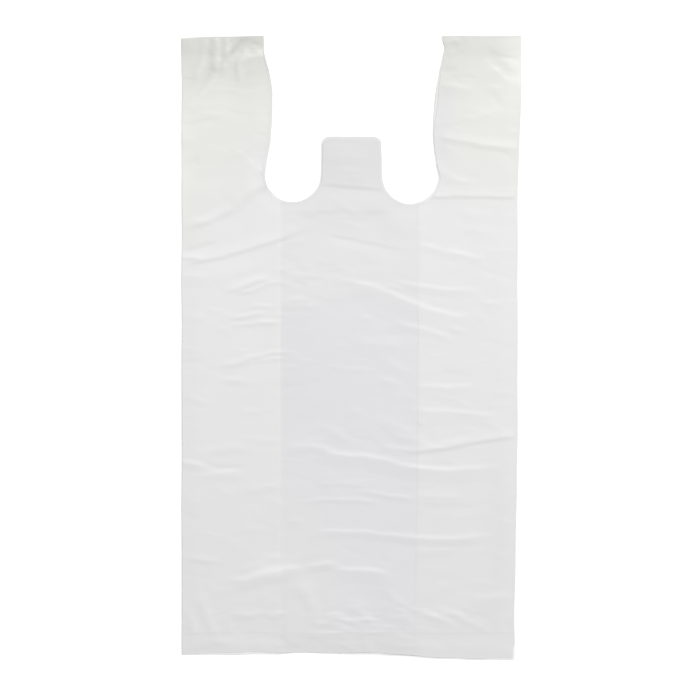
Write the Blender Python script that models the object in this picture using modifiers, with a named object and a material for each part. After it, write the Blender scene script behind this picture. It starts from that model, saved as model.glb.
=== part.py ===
# Plastic carrier bag with two loop handles, lying flat as it comes to rest.
# It is one length of gusseted film tube, welded across its foot and across its handle tops,
# with the mouth stamped out between the handles, so the whole bag is a single piece.
# X runs across the bag, Y from its foot to its handle tops, Z up from the table. Sizes are in metres.

import math
from collections import namedtuple

import bmesh
import bpy
from mathutils import Vector

# The tube, pressed flat
bag_width = 0.305
bag_length = 0.5588
gusset_depth = 0.0889
film_wall = 0.0003            # stands for film of about 0.014 mm
layer_pitch = 0.00085         # from one layer of film to the next where the stack lies loose
welded_pitch = 0.0005         # the same where a weld holds the stack together

# The welds that run across the tube
foot_weld_at = 0.021          # from the foot to the middle of its weld
handle_weld_drop = 0.0165     # from the handle tops to the middle of their weld
weld_band = 0.003             # flat band along a weld
weld_bead = 0.002             # fused bead in the middle of that band
pinch_length = 0.012          # over which the layers come together towards a weld

# The handles and the mouth between them
handle_top_width = 0.0725
handle_waist_width = 0.0801
handle_base_width = 0.0747
handle_straight_drop = 0.016  # from the handle tops to where the inner edge starts to curve
handle_waist_drop = 0.057
mouth_depth = 0.150           # from the handle tops to the lowest point of the notches
notch_radius = 0.025
tab_height = 0.060            # from the lowest point of the notches to the top of the tab
tab_corner = 0.0063
tab_taper = 0.0008            # by which each side of the tab leans in towards its top

# How the bag lies: its film has moved a little at the right side and at the foot
right_handle_lean = 0.004
right_foot_tuck = 0.004
right_foot_tuck_length = 0.230
foot_rise = 0.0054            # by which the foot lies higher on the left than at its right corner
foot_rise_length = 0.200

# The creases left from when the bag was folded small
crease_rise = 0.0026
crease_reach = 0.0165         # from a crease's line to where the film lies flat again
slack_rise = 0.0012           # of the front panel between the bag's edges
edge_hold = 0.35              # share of a crease's rise that is left at the side folds
gather_hold = 0.55            # share of a crease's rise that is left at the handle welds
settle_length = 0.030         # over which a weld lets the creases rise again

# Fineness of the mesh
cell_size = 0.0125
back_segments = 4
inner_segments = 2
fold_segments = 3
curve_steps = 8

film_colour = (0.80, 0.81, 0.79, 1.0)
film_roughness = 0.4

# A place on the bag is (across, up): across is -1 at its left side and 1 at its right side,
# and up is 0 at the foot and 1 at the handle tops. Strength 1 rises by crease_rise.
Crease = namedtuple("Crease", "start end strength")
creases = [
    # left handle: gathers below the weld, one cross crease, and the long one at the handle's root
    Crease((-0.73, 0.97), (-0.89, 0.89), 0.9),
    Crease((-0.69, 0.97), (-0.65, 0.88), 0.7),
    Crease((-0.58, 0.97), (-0.53, 0.90), 0.5),
    Crease((-0.98, 0.86), (-0.80, 0.87), 0.4),
    Crease((-0.51, 0.76), (-0.92, 0.70), 0.8),
    # right handle
    Crease((0.61, 0.97), (0.56, 0.90), 0.6),
    Crease((0.73, 0.97), (0.87, 0.87), 0.5),
    Crease((0.82, 0.97), (0.98, 0.92), 0.6),
    Crease((0.52, 0.91), (0.70, 0.91), 0.4),
    Crease((0.52, 0.83), (0.97, 0.82), 0.6),
    # below the mouth
    Crease((-0.19, 0.76), (0.18, 0.75), 0.5),
    Crease((-1.00, 0.64), (-0.30, 0.68), 0.8),
    Crease((-0.13, 0.69), (0.29, 0.66), 0.5),
    Crease((0.40, 0.67), (0.77, 0.66), 0.5),
    # upper half of the body
    Crease((-0.04, 0.61), (0.66, 0.55), 1.0),
    Crease((0.24, 0.54), (0.66, 0.52), 0.4),
    Crease((-0.67, 0.55), (-0.42, 0.54), 0.4),
    Crease((-0.77, 0.47), (-0.42, 0.49), 0.5),
    Crease((0.18, 0.49), (0.29, 0.45), 0.4),
    Crease((0.42, 0.44), (0.70, 0.44), 0.4),
    Crease((0.40, 0.41), (0.84, 0.39), 0.4),
    Crease((-0.98, 0.43), (-0.85, 0.41), 0.4),
    Crease((-0.07, 0.41), (0.00, 0.36), 0.4),
    # lower half of the body
    Crease((0.14, 0.34), (0.97, 0.36), 0.5),
    Crease((-0.32, 0.34), (0.40, 0.32), 1.0),
    Crease((0.40, 0.32), (0.86, 0.31), 0.8),
    Crease((-1.00, 0.32), (-0.65, 0.30), 0.5),
    Crease((-0.27, 0.25), (0.14, 0.26), 0.5),
    Crease((-0.18, 0.21), (0.76, 0.20), 0.7),
    Crease((-0.68, 0.13), (-0.39, 0.17), 1.0),
    Crease((-0.39, 0.17), (0.20, 0.15), 0.8),
    Crease((-0.89, 0.12), (-0.80, 0.07), 0.5),
    Crease((0.40, 0.08), (0.79, 0.06), 0.5),
]

left, right = -1, 1
half_width = bag_width / 2
back_height = film_wall / 2
handle_weld_at = bag_length - handle_weld_drop


def clear_scene():
    for item in list(bpy.data.objects):
        bpy.data.objects.remove(item)


def ease(share):
    """Go smoothly from 0 to 1 as share goes from 0 to 1."""
    share = min(max(share, 0.0), 1.0)
    return share * share * (3.0 - 2.0 * share)


def mix(first, second, share):
    return first + (second - first) * share


def side_edge(side, height):
    """Distance from the centre line to the middle of the film at a side fold."""
    edge = half_width - film_wall / 2
    if side == right:
        edge -= right_handle_lean * ease((bag_length - height) / mouth_depth)
        edge -= right_foot_tuck * ease(1.0 - height / right_foot_tuck_length)
    return edge


def length_up(x, height):
    """Y of a point of film that lies height above the foot where the foot is lowest."""
    fade = ease(1.0 - height / foot_rise_length)
    across = max(x / half_width, 0.0)
    raised = 0.5 + 0.5 * math.cos(math.pi * min(across, 1.0))
    return height - bag_length / 2 + foot_rise * fade * raised


def weld_distance(height):
    return min(abs(height - foot_weld_at), abs(height - handle_weld_at))


def pitch_at(height):
    """Spacing of the layers of film, which a weld pinches together."""
    near = max(weld_distance(height) - weld_band / 2, 0.0)
    return mix(welded_pitch, layer_pitch, ease(near / pinch_length))


def ridge(crease, x, height):
    """Rise of the front panel at one crease."""
    start = Vector((crease.start[0] * half_width, crease.start[1] * bag_length))
    run = Vector((crease.end[0] * half_width, crease.end[1] * bag_length)) - start
    place = Vector((x, height)) - start
    along = min(max(place.dot(run) / run.length_squared, 0.0), 1.0)
    away = (place - run * along).length / crease_reach
    return crease.strength * (0.5 + 0.5 * math.cos(math.pi * min(away, 1.0)))


def relief(x, height):
    """Height of the front panel above the stack that it lies on."""
    across = min(abs(x) / half_width, 1.0)
    rise = crease_rise * max(ridge(crease, x, height) for crease in creases)
    rise *= mix(1.0, edge_hold, across ** 4)
    rise += slack_rise * (1.0 - across ** 2) * math.sin(math.pi * height / bag_length)
    held = gather_hold if height > bag_length / 2 else 0.0
    return rise * mix(held, 1.0, ease(weld_distance(height) / settle_length))


def half_turn(centre_x, centre_height, radius, side, upward):
    """Points inside a fold of film, which turns over on the given side of its centre."""
    points = []
    for step in range(1, fold_segments):
        angle = math.pi * step / fold_segments - math.pi / 2
        if not upward:
            angle = -angle
        x = centre_x + side * radius * math.cos(angle)
        points.append((x, centre_height + radius * math.sin(angle)))
    return points


def spread(first, second, cells):
    return [mix(first, second, step / cells) for step in range(cells + 1)]


def front_height(x, height, fold_left, fold_right):
    """The front panel lies on the gussets at the sides and on the back panel between them."""
    inside = min(x + fold_left, fold_right - x)
    layers = mix(3.0, 1.0, ease(inside / cell_size))
    return back_height + layers * pitch_at(height) + relief(x, height)


def front_run(height):
    """X of the front panel's points from the right side fold to the left one."""
    right_edge = side_edge(right, height)
    left_edge = side_edge(left, height)
    fold_right = right_edge - gusset_depth
    fold_left = left_edge - gusset_depth
    side_cells = max(round(gusset_depth / cell_size), 1)
    middle_cells = max(round((bag_width - 2 * gusset_depth) / cell_size), 3)
    run = spread(right_edge, fold_right, side_cells)
    run += spread(fold_right, -fold_left, middle_cells)[1:-1]
    run += spread(-fold_left, -left_edge, side_cells)
    return run, fold_left, fold_right


def section(height):
    """One loop round the film, as (x, z) points, and the points that are its front panel."""
    pitch = pitch_at(height)
    turn = pitch / 2
    lower = back_height + pitch
    upper = lower + pitch
    run, fold_left, fold_right = front_run(height)
    front = [(x, front_height(x, height, fold_left, fold_right)) for x in run]
    right_edge, left_edge = run[0], run[-1]
    right_turn = (front[0][1] - upper) / 2
    left_turn = (front[-1][1] - upper) / 2
    front[0] = (right_edge - right_turn, front[0][1])
    front[-1] = (left_edge + left_turn, front[-1][1])

    loop = [(x, back_height) for x in spread(left_edge + turn, right_edge - turn, back_segments)]
    loop += half_turn(right_edge - turn, back_height + turn, turn, right, True)
    loop += [(x, lower) for x in spread(right_edge - turn, fold_right + turn, inner_segments)]
    loop += half_turn(fold_right + turn, lower + turn, turn, left, True)
    loop += [(x, upper) for x in spread(fold_right + turn, right_edge - right_turn, inner_segments)]
    loop += half_turn(right_edge - right_turn, upper + right_turn, right_turn, right, True)
    loop += front
    loop += half_turn(left_edge + left_turn, upper + left_turn, left_turn, left, False)
    loop += [(x, upper) for x in spread(left_edge + left_turn, -fold_left - turn, inner_segments)]
    loop += half_turn(-fold_left - turn, lower + turn, turn, right, False)
    loop += [(x, lower) for x in spread(-fold_left - turn, left_edge + turn, inner_segments)]
    loop += half_turn(left_edge + turn, back_height + turn, turn, left, False)
    return loop, front


def row_heights():
    """Heights of the rows of points, with a flat band of two rows along each weld."""
    foot_band = (foot_weld_at - weld_band / 2, foot_weld_at + weld_band / 2)
    handle_band = (handle_weld_at - weld_band / 2, handle_weld_at + weld_band / 2)
    first = foot_band[1] + pinch_length
    last = handle_band[0] - pinch_length
    body = spread(first, last, max(round((last - first) / cell_size), 1))
    skirt = [0.0, foot_band[0] / 2]
    header = [(handle_band[1] + bag_length) / 2, bag_length]
    return skirt + list(foot_band) + body + list(handle_band) + header


def film_material():
    material = bpy.data.materials.new("white film")
    material.use_nodes = True
    shader = material.node_tree.nodes["Principled BSDF"]
    shader.inputs["Base Color"].default_value = film_colour
    shader.inputs["Roughness"].default_value = film_roughness
    shader.inputs["Metallic"].default_value = 0.0
    return material


def mesh_object(name, points, faces, collection):
    mesh = bpy.data.meshes.new(name)
    mesh.from_pydata(points, [], faces)
    bm = bmesh.new()
    bm.from_mesh(mesh)
    bmesh.ops.recalc_face_normals(bm, faces=bm.faces)
    bm.to_mesh(mesh)
    bm.free()
    item = bpy.data.objects.new(name, mesh)
    collection.objects.link(item)
    return item


def film_tube(collection):
    """The gusseted tube as an open surface through the middle of the film."""
    heights = row_heights()
    points = []
    for height in heights:
        loop, front = section(height)
        points += [(x, length_up(x, height), z) for x, z in loop]
    count = len(loop)
    faces = []
    for row in range(len(heights) - 1):
        for place in range(count):
            after = (place + 1) % count
            start, above = row * count, (row + 1) * count
            faces.append((start + place, start + after, above + after, above + place))
    tube = mesh_object("carrier_bag", points, faces, collection)
    wall = tube.modifiers.new("film wall", "SOLIDIFY")
    wall.thickness = film_wall
    wall.offset = 0.0
    wall.use_even_offset = True
    tube.data.materials.append(film_material())
    tube.data.shade_smooth()
    return tube


def weld(name, weld_at, collection):
    """Bead of melted film, from the middle of the back panel to the middle of the front one."""
    rows = [weld_at - weld_bead / 2, weld_at + weld_bead / 2]
    points = []
    for height in rows:
        front = section(height)[1]
        for x, top in front[1:-1]:
            y = length_up(x, height)
            points += [(x, y, back_height), (x, y, top)]
    count = len(front[1:-1])
    row = 2 * count
    faces = []
    for place in range(0, row - 2, 2):
        low, high = place, place + 1
        next_low, next_high = place + 2, place + 3
        faces.append((low, next_low, next_low + row, low + row))
        faces.append((high, high + row, next_high + row, next_high))
        faces.append((low, high, next_high, next_low))
        faces.append((low + row, next_low + row, next_high + row, high + row))
    faces.append((0, row, row + 1, 1))
    faces.append((row - 2, row - 1, 2 * row - 1, 2 * row - 2))
    bead = mesh_object(name, points, faces, collection)
    bead.hide_render = True
    bead.display_type = "WIRE"
    return bead


def mouth_outline():
    """Right half of the mouth as anchors: x, y, tangent, reach before, reach after."""
    round_reach = 4.0 / 3.0 * (math.sqrt(2.0) - 1.0)
    top = bag_length / 2
    above = top + handle_straight_drop
    straight_end = top - handle_straight_drop
    waist = top - handle_waist_drop
    notch_foot = top - mouth_depth
    notch_middle = notch_foot + notch_radius
    notch_outside = half_width - handle_base_width
    notch_x = notch_outside - notch_radius
    tab_side = notch_x - notch_radius
    tab_top = notch_foot + tab_height
    tab_shoulder = tab_top - tab_corner
    down, across, up = Vector((0, -1)), Vector((-1, 0)), Vector((0, 1))
    notch_reach = round_reach * notch_radius
    corner_reach = round_reach * tab_corner
    upper_reach = (straight_end - waist) / 3
    lower_reach = (waist - notch_middle) / 3
    tab_reach = (tab_shoulder - notch_middle) / 3
    handle_side = half_width - handle_top_width
    return [
        (handle_side, above, down, 0.0, handle_straight_drop / 3),
        (handle_side, straight_end, down, handle_straight_drop / 3, upper_reach),
        (half_width - handle_waist_width, waist, down, upper_reach, lower_reach),
        (notch_outside, notch_middle, down, lower_reach, notch_reach),
        (notch_x, notch_foot, across, notch_reach, notch_reach),
        (tab_side, notch_middle, up, notch_reach, tab_reach),
        (tab_side - tab_taper, tab_shoulder, up, tab_reach, corner_reach),
        (tab_side - tab_taper - tab_corner, tab_top, across, corner_reach, 0.0),
    ]


def mouth_cutter(collection):
    anchors = mouth_outline()
    for x, y, tangent, before, after in reversed(mouth_outline()):
        anchors.append((-x, y, Vector((tangent.x, -tangent.y)), after, before))
    curve = bpy.data.curves.new("mouth outline", "CURVE")
    curve.dimensions = "2D"
    curve.fill_mode = "BOTH"
    curve.extrude = bag_width / 4
    curve.resolution_u = curve_steps
    spline = curve.splines.new("BEZIER")
    spline.bezier_points.add(len(anchors) - 1)
    spline.use_cyclic_u = True
    for point, (x, y, tangent, before, after) in zip(spline.bezier_points, anchors):
        place = Vector((x, y))
        point.handle_left_type = point.handle_right_type = "FREE"
        point.co = place.to_3d()
        point.handle_left = (place - tangent * before).to_3d()
        point.handle_right = (place + tangent * after).to_3d()
    outline = bpy.data.objects.new("mouth outline", curve)
    collection.objects.link(outline)
    bpy.context.view_layer.update()

    evaluated = outline.evaluated_get(bpy.context.evaluated_depsgraph_get())
    mesh = bpy.data.meshes.new_from_object(evaluated)
    bm = bmesh.new()
    bm.from_mesh(mesh)
    bmesh.ops.remove_doubles(bm, verts=bm.verts, dist=film_wall / 10)
    bmesh.ops.recalc_face_normals(bm, faces=bm.faces)
    bm.to_mesh(mesh)
    bm.free()
    cutter = bpy.data.objects.new("mouth cutter", mesh)
    cutter.matrix_world = outline.matrix_world
    bpy.data.objects.remove(outline)
    collection.objects.link(cutter)
    cutter.hide_render = True
    cutter.display_type = "WIRE"
    return cutter


def combine(body, tool, operation):
    boolean = body.modifiers.new(tool.name, "BOOLEAN")
    boolean.operation = operation
    boolean.solver = "EXACT"
    boolean.object = tool


def build():
    clear_scene()
    parts = bpy.data.collections.new("carrier bag")
    cutters = bpy.data.collections.new("carrier bag cutters")
    bpy.context.scene.collection.children.link(parts)
    bpy.context.scene.collection.children.link(cutters)
    bag = film_tube(parts)
    combine(bag, weld("foot weld", foot_weld_at, cutters), "UNION")
    combine(bag, weld("handle weld", handle_weld_at, cutters), "UNION")
    combine(bag, mouth_cutter(cutters), "DIFFERENCE")


build()
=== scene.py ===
import math

import bmesh
import bpy
import numpy as np
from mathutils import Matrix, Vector


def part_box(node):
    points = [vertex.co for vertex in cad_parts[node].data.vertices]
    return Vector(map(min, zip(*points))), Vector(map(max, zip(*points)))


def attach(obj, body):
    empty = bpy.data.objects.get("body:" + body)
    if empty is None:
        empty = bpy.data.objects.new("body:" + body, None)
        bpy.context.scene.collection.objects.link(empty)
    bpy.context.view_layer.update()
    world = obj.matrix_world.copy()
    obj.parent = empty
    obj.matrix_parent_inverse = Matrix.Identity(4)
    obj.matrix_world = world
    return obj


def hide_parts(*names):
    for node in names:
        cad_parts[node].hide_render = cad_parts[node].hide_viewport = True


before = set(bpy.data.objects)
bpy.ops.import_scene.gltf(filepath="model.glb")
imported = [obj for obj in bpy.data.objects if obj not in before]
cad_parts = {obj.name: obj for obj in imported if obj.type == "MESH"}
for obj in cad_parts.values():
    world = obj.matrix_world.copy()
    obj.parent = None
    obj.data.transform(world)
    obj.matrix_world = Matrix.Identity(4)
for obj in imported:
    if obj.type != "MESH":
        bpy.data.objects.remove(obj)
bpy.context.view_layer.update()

# The plastic carrier bag's looks: its film, creases, welds and layered edges. X runs across the bag,
# Y from its foot to its handle tops, Z up from the table. The frame is in metres, and the lists of
# creases are in millimetres from the middle of the bag.

mm = 0.001
lowCorner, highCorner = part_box("carrier_bag")


def ease(share):  # smoothly from 0 to 1
    share = np.clip(share, 0.0, 1.0)
    return share * share * (3.0 - 2.0 * share)


def mix(first, second, share):
    return first + (second - first) * share


def waves(place, length, seed):  # a smooth wander between about -1 and 1, the same each run
    draw = np.random.default_rng(seed)
    total = 0.0
    for octave in range(4):
        angle = math.tau * place / (length * draw.uniform(0.7, 1.5))
        total = total + np.sin(angle + draw.uniform(0, math.tau))
    return total / 3.0


def field(x, y, length, seed):  # such a wander over the bag's area
    draw = np.random.default_rng(seed)
    total = 0.0
    for octave in range(7):
        way = draw.uniform(0.0, math.pi)
        place = x * math.cos(way) + y * math.sin(way)
        angle = math.tau * place / (length * draw.uniform(0.6, 1.6))
        total = total + np.sin(angle + draw.uniform(0, math.tau))
    return total / 4.0


# The tube of film and the way it lies

tube = {
    "width": highCorner.x - lowCorner.x,
    "length": highCorner.y - lowCorner.y,
    "gussetDepth": 0.0889,
    "wall": 0.00008,
    "pitch": 0.00022,  # from one layer to the next
    "weldedPitch": 0.00018,
    "pinchLength": 0.014,
    "footWeld": 0.0229,  # above the foot
    "handleWeld": 0.0165,  # below the handle tops
    "weldWidth": 0.0020,
    "edgePitchShare": 0.65,  # the layers lie closer along their free edges and folds
    "edgeReach": 0.014,
    "rowHeight": 0.0012,  # of the front panel's rows
    "weldRowHeight": 0.0010,
    "bodyRowShare": 6,  # front rows to one row of the other layers below the mouth
    "mouthRowShare": 2,  # and beside the mouth
    "mouthZone": 0.165,
    "frontCells": 84,
    "backCells": 70,
    "leafCells": 7,
    "turnCells": 3,
    "handleLean": 0.0033,
    "leanBegins": 0.040,  # below the handle tops
    "footTuck": 0.0030,
    "footTuckLength": 0.230,
    "footRise": (0.0045, 0.122),  # of the foot's left half, gone by this far to the right
    "footBow": (0.0014, -0.042, 0.034),  # rise, place and reach
    "topRise": (0.0009, 0.080),  # over this length from the left handle's outer corner
    "cornerFall": (0.0009, 0.025),  # of that corner
    "edgeWander": 0.0003,  # of the side folds
    "wanderOut": -0.3,  # share of it by which they lie further out
    "footWander": 0.0004,
    "topWander": 0.0002,
    "frontInset": {"left": 0.0008, "right": 0.0022},  # of the front pair of layers at the side folds
    "frontFootShort": (0.0020, 0.060),  # by which the front's foot falls short, and over what height
    "frontTopShort": (0.0010, 0.050),
    "mouthInset": 0.0029,  # of the front panel's cut edge behind the back panel's
}
shares = {"back": 0.08, "lower": 0.18, "upper": 0.30, "front": 1.0}  # of the relief that each layer follows

halfWidth = tube["width"] / 2
bagTop = highCorner.y
bagFoot = lowCorner.y
mouthDepth = 0.150

frontRun = {  # how the front panel's columns are shared out
    "guard": 0.0004,  # width of the narrow ones at the side folds
    "foldStep": 0.0006,  # half width of the step over a gusset's fold
    "pastRightFold": 0.0017,
    "foldColumns": (0.305, 0.71),  # shares of the columns at the gussets' folds
    "handleGap": 0.0715,  # half of the gap between the handles
    "gapColumns": 0.10,  # share of the columns in each half of it
    "spreadFrom": 0.135,  # below the top, where they begin to move to the handles
    "spreadLength": 0.030,
    "foldDrop": 0.55,  # levels that the panel falls at a gusset's fold
    "middleDrop": (1.45, 0.035),  # and further in, over this length
}


def weldDistance(height):
    return np.minimum(np.abs(height - tube["footWeld"]), np.abs(height - tube["length"] + tube["handleWeld"]))


def pitchAt(height):
    near = np.maximum(weldDistance(height) - tube["weldWidth"] / 2, 0.0)
    return mix(tube["weldedPitch"], tube["pitch"], ease(near / tube["pinchLength"]))


def sideEdges(height):  # distances of the left and right side folds from the centre line
    out = halfWidth - tube["wall"] / 2
    left = out + tube["edgeWander"] * (waves(height, 0.090, 11) + tube["wanderOut"])
    right = out + tube["edgeWander"] * (waves(height, 0.075, 12) + tube["wanderOut"])
    below = tube["length"] - height - tube["leanBegins"]
    right = right - tube["handleLean"] * ease(below / (mouthDepth - tube["leanBegins"]))
    right = right - tube["footTuck"] * ease(1.0 - height / tube["footTuckLength"])
    return left, right


def lieAlong(x, height, share):  # Y of the film; the front's free ends fall a little short of the back's
    (rise, ends), (bow, bowAt, bowReach) = tube["footRise"], tube["footBow"]
    (topRise, topLength), (fall, fallLength) = tube["topRise"], tube["cornerFall"]
    (footShort, footReach), (topShort, topReach) = tube["frontFootShort"], tube["frontTopShort"]
    raised = 0.5 + 0.5 * np.cos(math.pi * np.clip(x / ends, 0.0, 1.0))
    raised = rise * raised + bow * np.exp(-((x - bowAt) / bowReach) ** 2)
    raised = raised * np.clip(1.0 - height / tube["footWeld"], 0.0, 1.0)
    short = ease((share - shares["back"]) / (shares["front"] - shares["back"]))
    foot = short * footShort * (0.7 + 0.5 * waves(x, 0.110, 21))
    foot = foot + tube["footWander"] * (1 + waves(x, 0.045, 22))
    top = short * topShort * (0.7 + 0.5 * waves(x, 0.080, 23))
    top = top + tube["topWander"] * (1 + waves(x, 0.040, 24))
    across = x + halfWidth
    top = topRise * ease(across / topLength) - fall * ease(1 - across / fallLength) - top
    raised = raised + foot * ease(1.0 - height / footReach)
    raised = raised + top * ease(1.0 - (tube["length"] - height) / topReach)
    return bagFoot + height + raised


def rowHeights():  # heights of the front panel's rows, and which of them the other layers share
    heights = [0.0]
    while heights[-1] < tube["length"]:
        near = ease((weldDistance(heights[-1]) - 0.003) / 0.010)
        heights.append(heights[-1] + mix(tube["weldRowHeight"], tube["rowHeight"], near))
    fine = np.array(heights) * tube["length"] / heights[-1]
    shared = [0]
    while shared[-1] < len(fine) - 1:
        beside = fine[shared[-1]] > tube["length"] - tube["mouthZone"]
        step = tube["mouthRowShare"] if beside else tube["bodyRowShare"]
        shared.append(min(shared[-1] + step, len(fine) - 1))
    return fine, shared


def turn(edge, side, level, first, second, radius):  # inner points of an upward fold
    columns = []
    for step in range(1, tube["turnCells"]):
        angle = math.pi * step / tube["turnCells"] - math.pi / 2
        share = 0.5 + 0.5 * math.sin(angle)
        x = edge + side * radius * (math.cos(angle) - 1.0)
        columns.append((x, level + share, mix(first, second, share)))
    return columns


def flat(first, last, cells, level, share):  # points of a flat run, both ends included
    return [(mix(first, last, step / cells), level, share) for step in range(cells + 1)]


def gussetColumns(side, edge, fold, frontEdge, radius):  # one side's, from the back panel to the front one
    back, lower, upper, front = shares["back"], shares["lower"], shares["upper"], shares["front"]
    leaf = tube["leafCells"]
    columns = turn(side * edge, side, 0.0, back, lower, radius)
    columns += flat(side * (edge - radius), side * (fold + radius), leaf, 1.0, lower)
    columns += turn(side * fold, -side, 1.0, lower, upper, radius)
    columns += flat(side * (fold + radius), side * (frontEdge - radius), leaf, 2.0, upper)
    return columns + turn(side * frontEdge, side, 2.0, upper, front, radius)


def ringColumns(height):  # all but the front panel, from its left end round the back to its right end
    left, right = sideEdges(height)
    radius = pitchAt(height) / 2
    leftFront = left - tube["frontInset"]["left"] * (0.8 + 0.5 * waves(height, 0.13, 31))
    rightFront = right - tube["frontInset"]["right"] * (0.8 + 0.4 * waves(height, 0.11, 32))
    leftFold, rightFold = left - tube["gussetDepth"], right - tube["gussetDepth"]
    columns = gussetColumns(-1, left, leftFold, leftFront, radius)[::-1]
    columns += flat(-left + radius, right - radius, tube["backCells"], 0.0, shares["back"])
    columns += gussetColumns(1, right, rightFold, rightFront, radius)
    return columns, leftFront - radius, rightFront - radius, leftFold, rightFold


def frontColumns(height):  # the front panel from its right end to its left one
    leftEnd, rightEnd, leftFold, rightFold = ringColumns(height)[1:]
    cells, foldStep, guard = tube["frontCells"], frontRun["foldStep"], frontRun["guard"]
    gap, gapColumns = frontRun["handleGap"], frontRun["gapColumns"]
    beside = ease((height - tube["length"] + frontRun["spreadFrom"]) / frontRun["spreadLength"])
    first, second = (round(cells * share) for share in frontRun["foldColumns"])
    knots = [0, 1, first, first + 1, first + 2, second, second + 1, cells - 1, cells]
    places = [rightEnd, rightEnd - guard, rightFold + foldStep, rightFold - foldStep,
              rightFold - frontRun["pastRightFold"], foldStep - leftFold, -leftFold - foldStep,
              guard - leftEnd, -leftEnd]
    drop, reach = frontRun["middleDrop"]
    found = []
    for step in range(cells + 1):
        part = min(np.searchsorted(knots, step, side="right") - 1, len(knots) - 2)
        body = mix(places[part], places[part + 1], (step - knots[part]) / (knots[part + 1] - knots[part]))
        share = step / cells
        if step in (0, 1, cells - 1, cells):
            handle = body
        elif share < 0.5 - gapColumns:
            handle = mix(rightEnd, gap, share / (0.5 - gapColumns))
        elif share > 0.5 + gapColumns:
            handle = mix(-gap, -leftEnd, (share - 0.5 - gapColumns) / (0.5 - gapColumns))
        else:
            handle = gap * (0.5 - share) / gapColumns
        x = mix(body, handle, beside)
        inside = np.minimum(x + leftFold, rightFold - x)
        level = 3.0 - frontRun["foldDrop"] * ease((inside + foldStep) / (2 * foldStep))
        found.append((x, level - drop * ease(inside / reach), shares["front"]))
    return found


def stacked(columns, height):  # columns of values as arrays of column by row: x, y, level, share, height
    shape = (len(columns), len(height))
    sheets = np.zeros(shape + (5,))
    for index, (x, level, share) in enumerate(columns):
        sheets[index, :, 0] = x
        sheets[index, :, 2] = level
        sheets[index, :, 3] = share
        sheets[index, :, 4] = height
    sheets[..., 1] = lieAlong(sheets[..., 0], sheets[..., 4], sheets[..., 3])
    return sheets


def grid(index):  # the faces between neighbouring columns and rows
    return [(index[column, row], index[column, row + 1], index[column + 1, row + 1], index[column + 1, row])
            for column in range(index.shape[0] - 1) for row in range(index.shape[1] - 1)]


def makeTube():  # the uncut tube: points with their place, level, share and height, and its faces
    fine, shared = rowHeights()
    front = stacked(frontColumns(fine), fine)
    ring = stacked(ringColumns(fine[shared])[0], fine[shared])
    points = np.concatenate([front.reshape(-1, 5), ring.reshape(-1, 5)])
    frontIndex = np.arange(front.shape[0] * front.shape[1]).reshape(front.shape[:2])
    ringIndex = np.arange(ring.shape[0] * ring.shape[1]).reshape(ring.shape[:2]) + frontIndex.size
    faces = grid(frontIndex) + grid(ringIndex)
    for row, (low, high) in enumerate(zip(shared[:-1], shared[1:])):  # the side folds meet the finer rows
        leftRun = list(frontIndex[-1, low:high + 1])
        rightRun = list(frontIndex[0, low:high + 1])
        faces.append(tuple(leftRun + [ringIndex[0, row + 1], ringIndex[0, row]]))
        faces.append(tuple([ringIndex[-1, row], ringIndex[-1, row + 1]] + rightRun[::-1]))
    return points, faces


# The mouth, stamped out through all of the layers

mouth = {
    "above": 0.020,
    "leftHandle": [(-78.6, 279.0), (-78.2, 264.0), (-74.6, 252.0), (-71.3, 234.0), (-70.8, 218.0),
                   (-72.4, 188.0), (-76.0, 167.0)],
    "rightHandle": [(81.1, 279.0), (83.2, 270.0), (82.2, 263.0), (79.1, 250.0), (75.2, 227.0),
                    (73.0, 203.0), (73.7, 182.0), (75.8, 166.0)],
    "leftNotch": (-52.6, 156.3, 25.2),  # middle and radius of its round foot
    "rightNotch": (52.8, 154.7, 25.3),
    "tab": (-26.9, 26.8, 189.8, 6.3),  # left, right, top, corner radius
    "flush": (0.078, 0.152, 0.014, 0.022),  # where the layers' cut edges lie closest: middle and reach
    "flushShare": 0.65,
    "steps": (14, 6),  # of an arc, and from one point of a smooth line to the next
    "reach": 0.016,  # in metres, round the mouth
    "rough": 0.0002,  # of the cut
    "snap": 0.3,  # share of a row within which points move onto the cut
}


def arc(centre, radius, first, last):
    angles = np.radians(np.linspace(first, last, mouth["steps"][0]))
    return [(centre[0] + radius * math.cos(angle), centre[1] + radius * math.sin(angle)) for angle in angles]


def smoothLine(points):  # a smooth curve through points
    points = np.array(points, float)
    padded = np.vstack([2 * points[0] - points[1], points, 2 * points[-1] - points[-2]])
    line = []
    for index in range(1, len(padded) - 2):
        before, start, end, after = padded[index - 1:index + 3]
        for share in np.arange(mouth["steps"][1]) / mouth["steps"][1]:
            line.append(0.5 * (2 * start + (end - before) * share
                               + (2 * before - 5 * start + 4 * end - after) * share ** 2
                               + (3 * start - before - 3 * end + after) * share ** 3))
    line.append(points[-1])
    return [tuple(point) for point in line]


def mouthOutline():  # a closed line in metres
    top = (bagTop + mouth["above"]) / mm
    left, right = mouth["leftNotch"], mouth["rightNotch"]
    tabLeft, tabRight, tabTop, corner = mouth["tab"]
    leftEdge, rightEdge = mouth["leftHandle"], mouth["rightHandle"]
    line = smoothLine([(leftEdge[0][0], top)] + leftEdge + [(left[0] - left[2], left[1])])
    line += arc(left[:2], left[2], 180, 360)[1:]
    line += arc((tabLeft + corner, tabTop - corner), corner, 180, 90)
    line += arc((tabRight - corner, tabTop - corner), corner, 90, 0)
    line += arc(right[:2], right[2], 180, 360)
    line += smoothLine([(right[0] + right[2], right[1])] + rightEdge[::-1] + [(rightEdge[0][0], top)])[1:]
    return np.array(line) * mm


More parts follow.
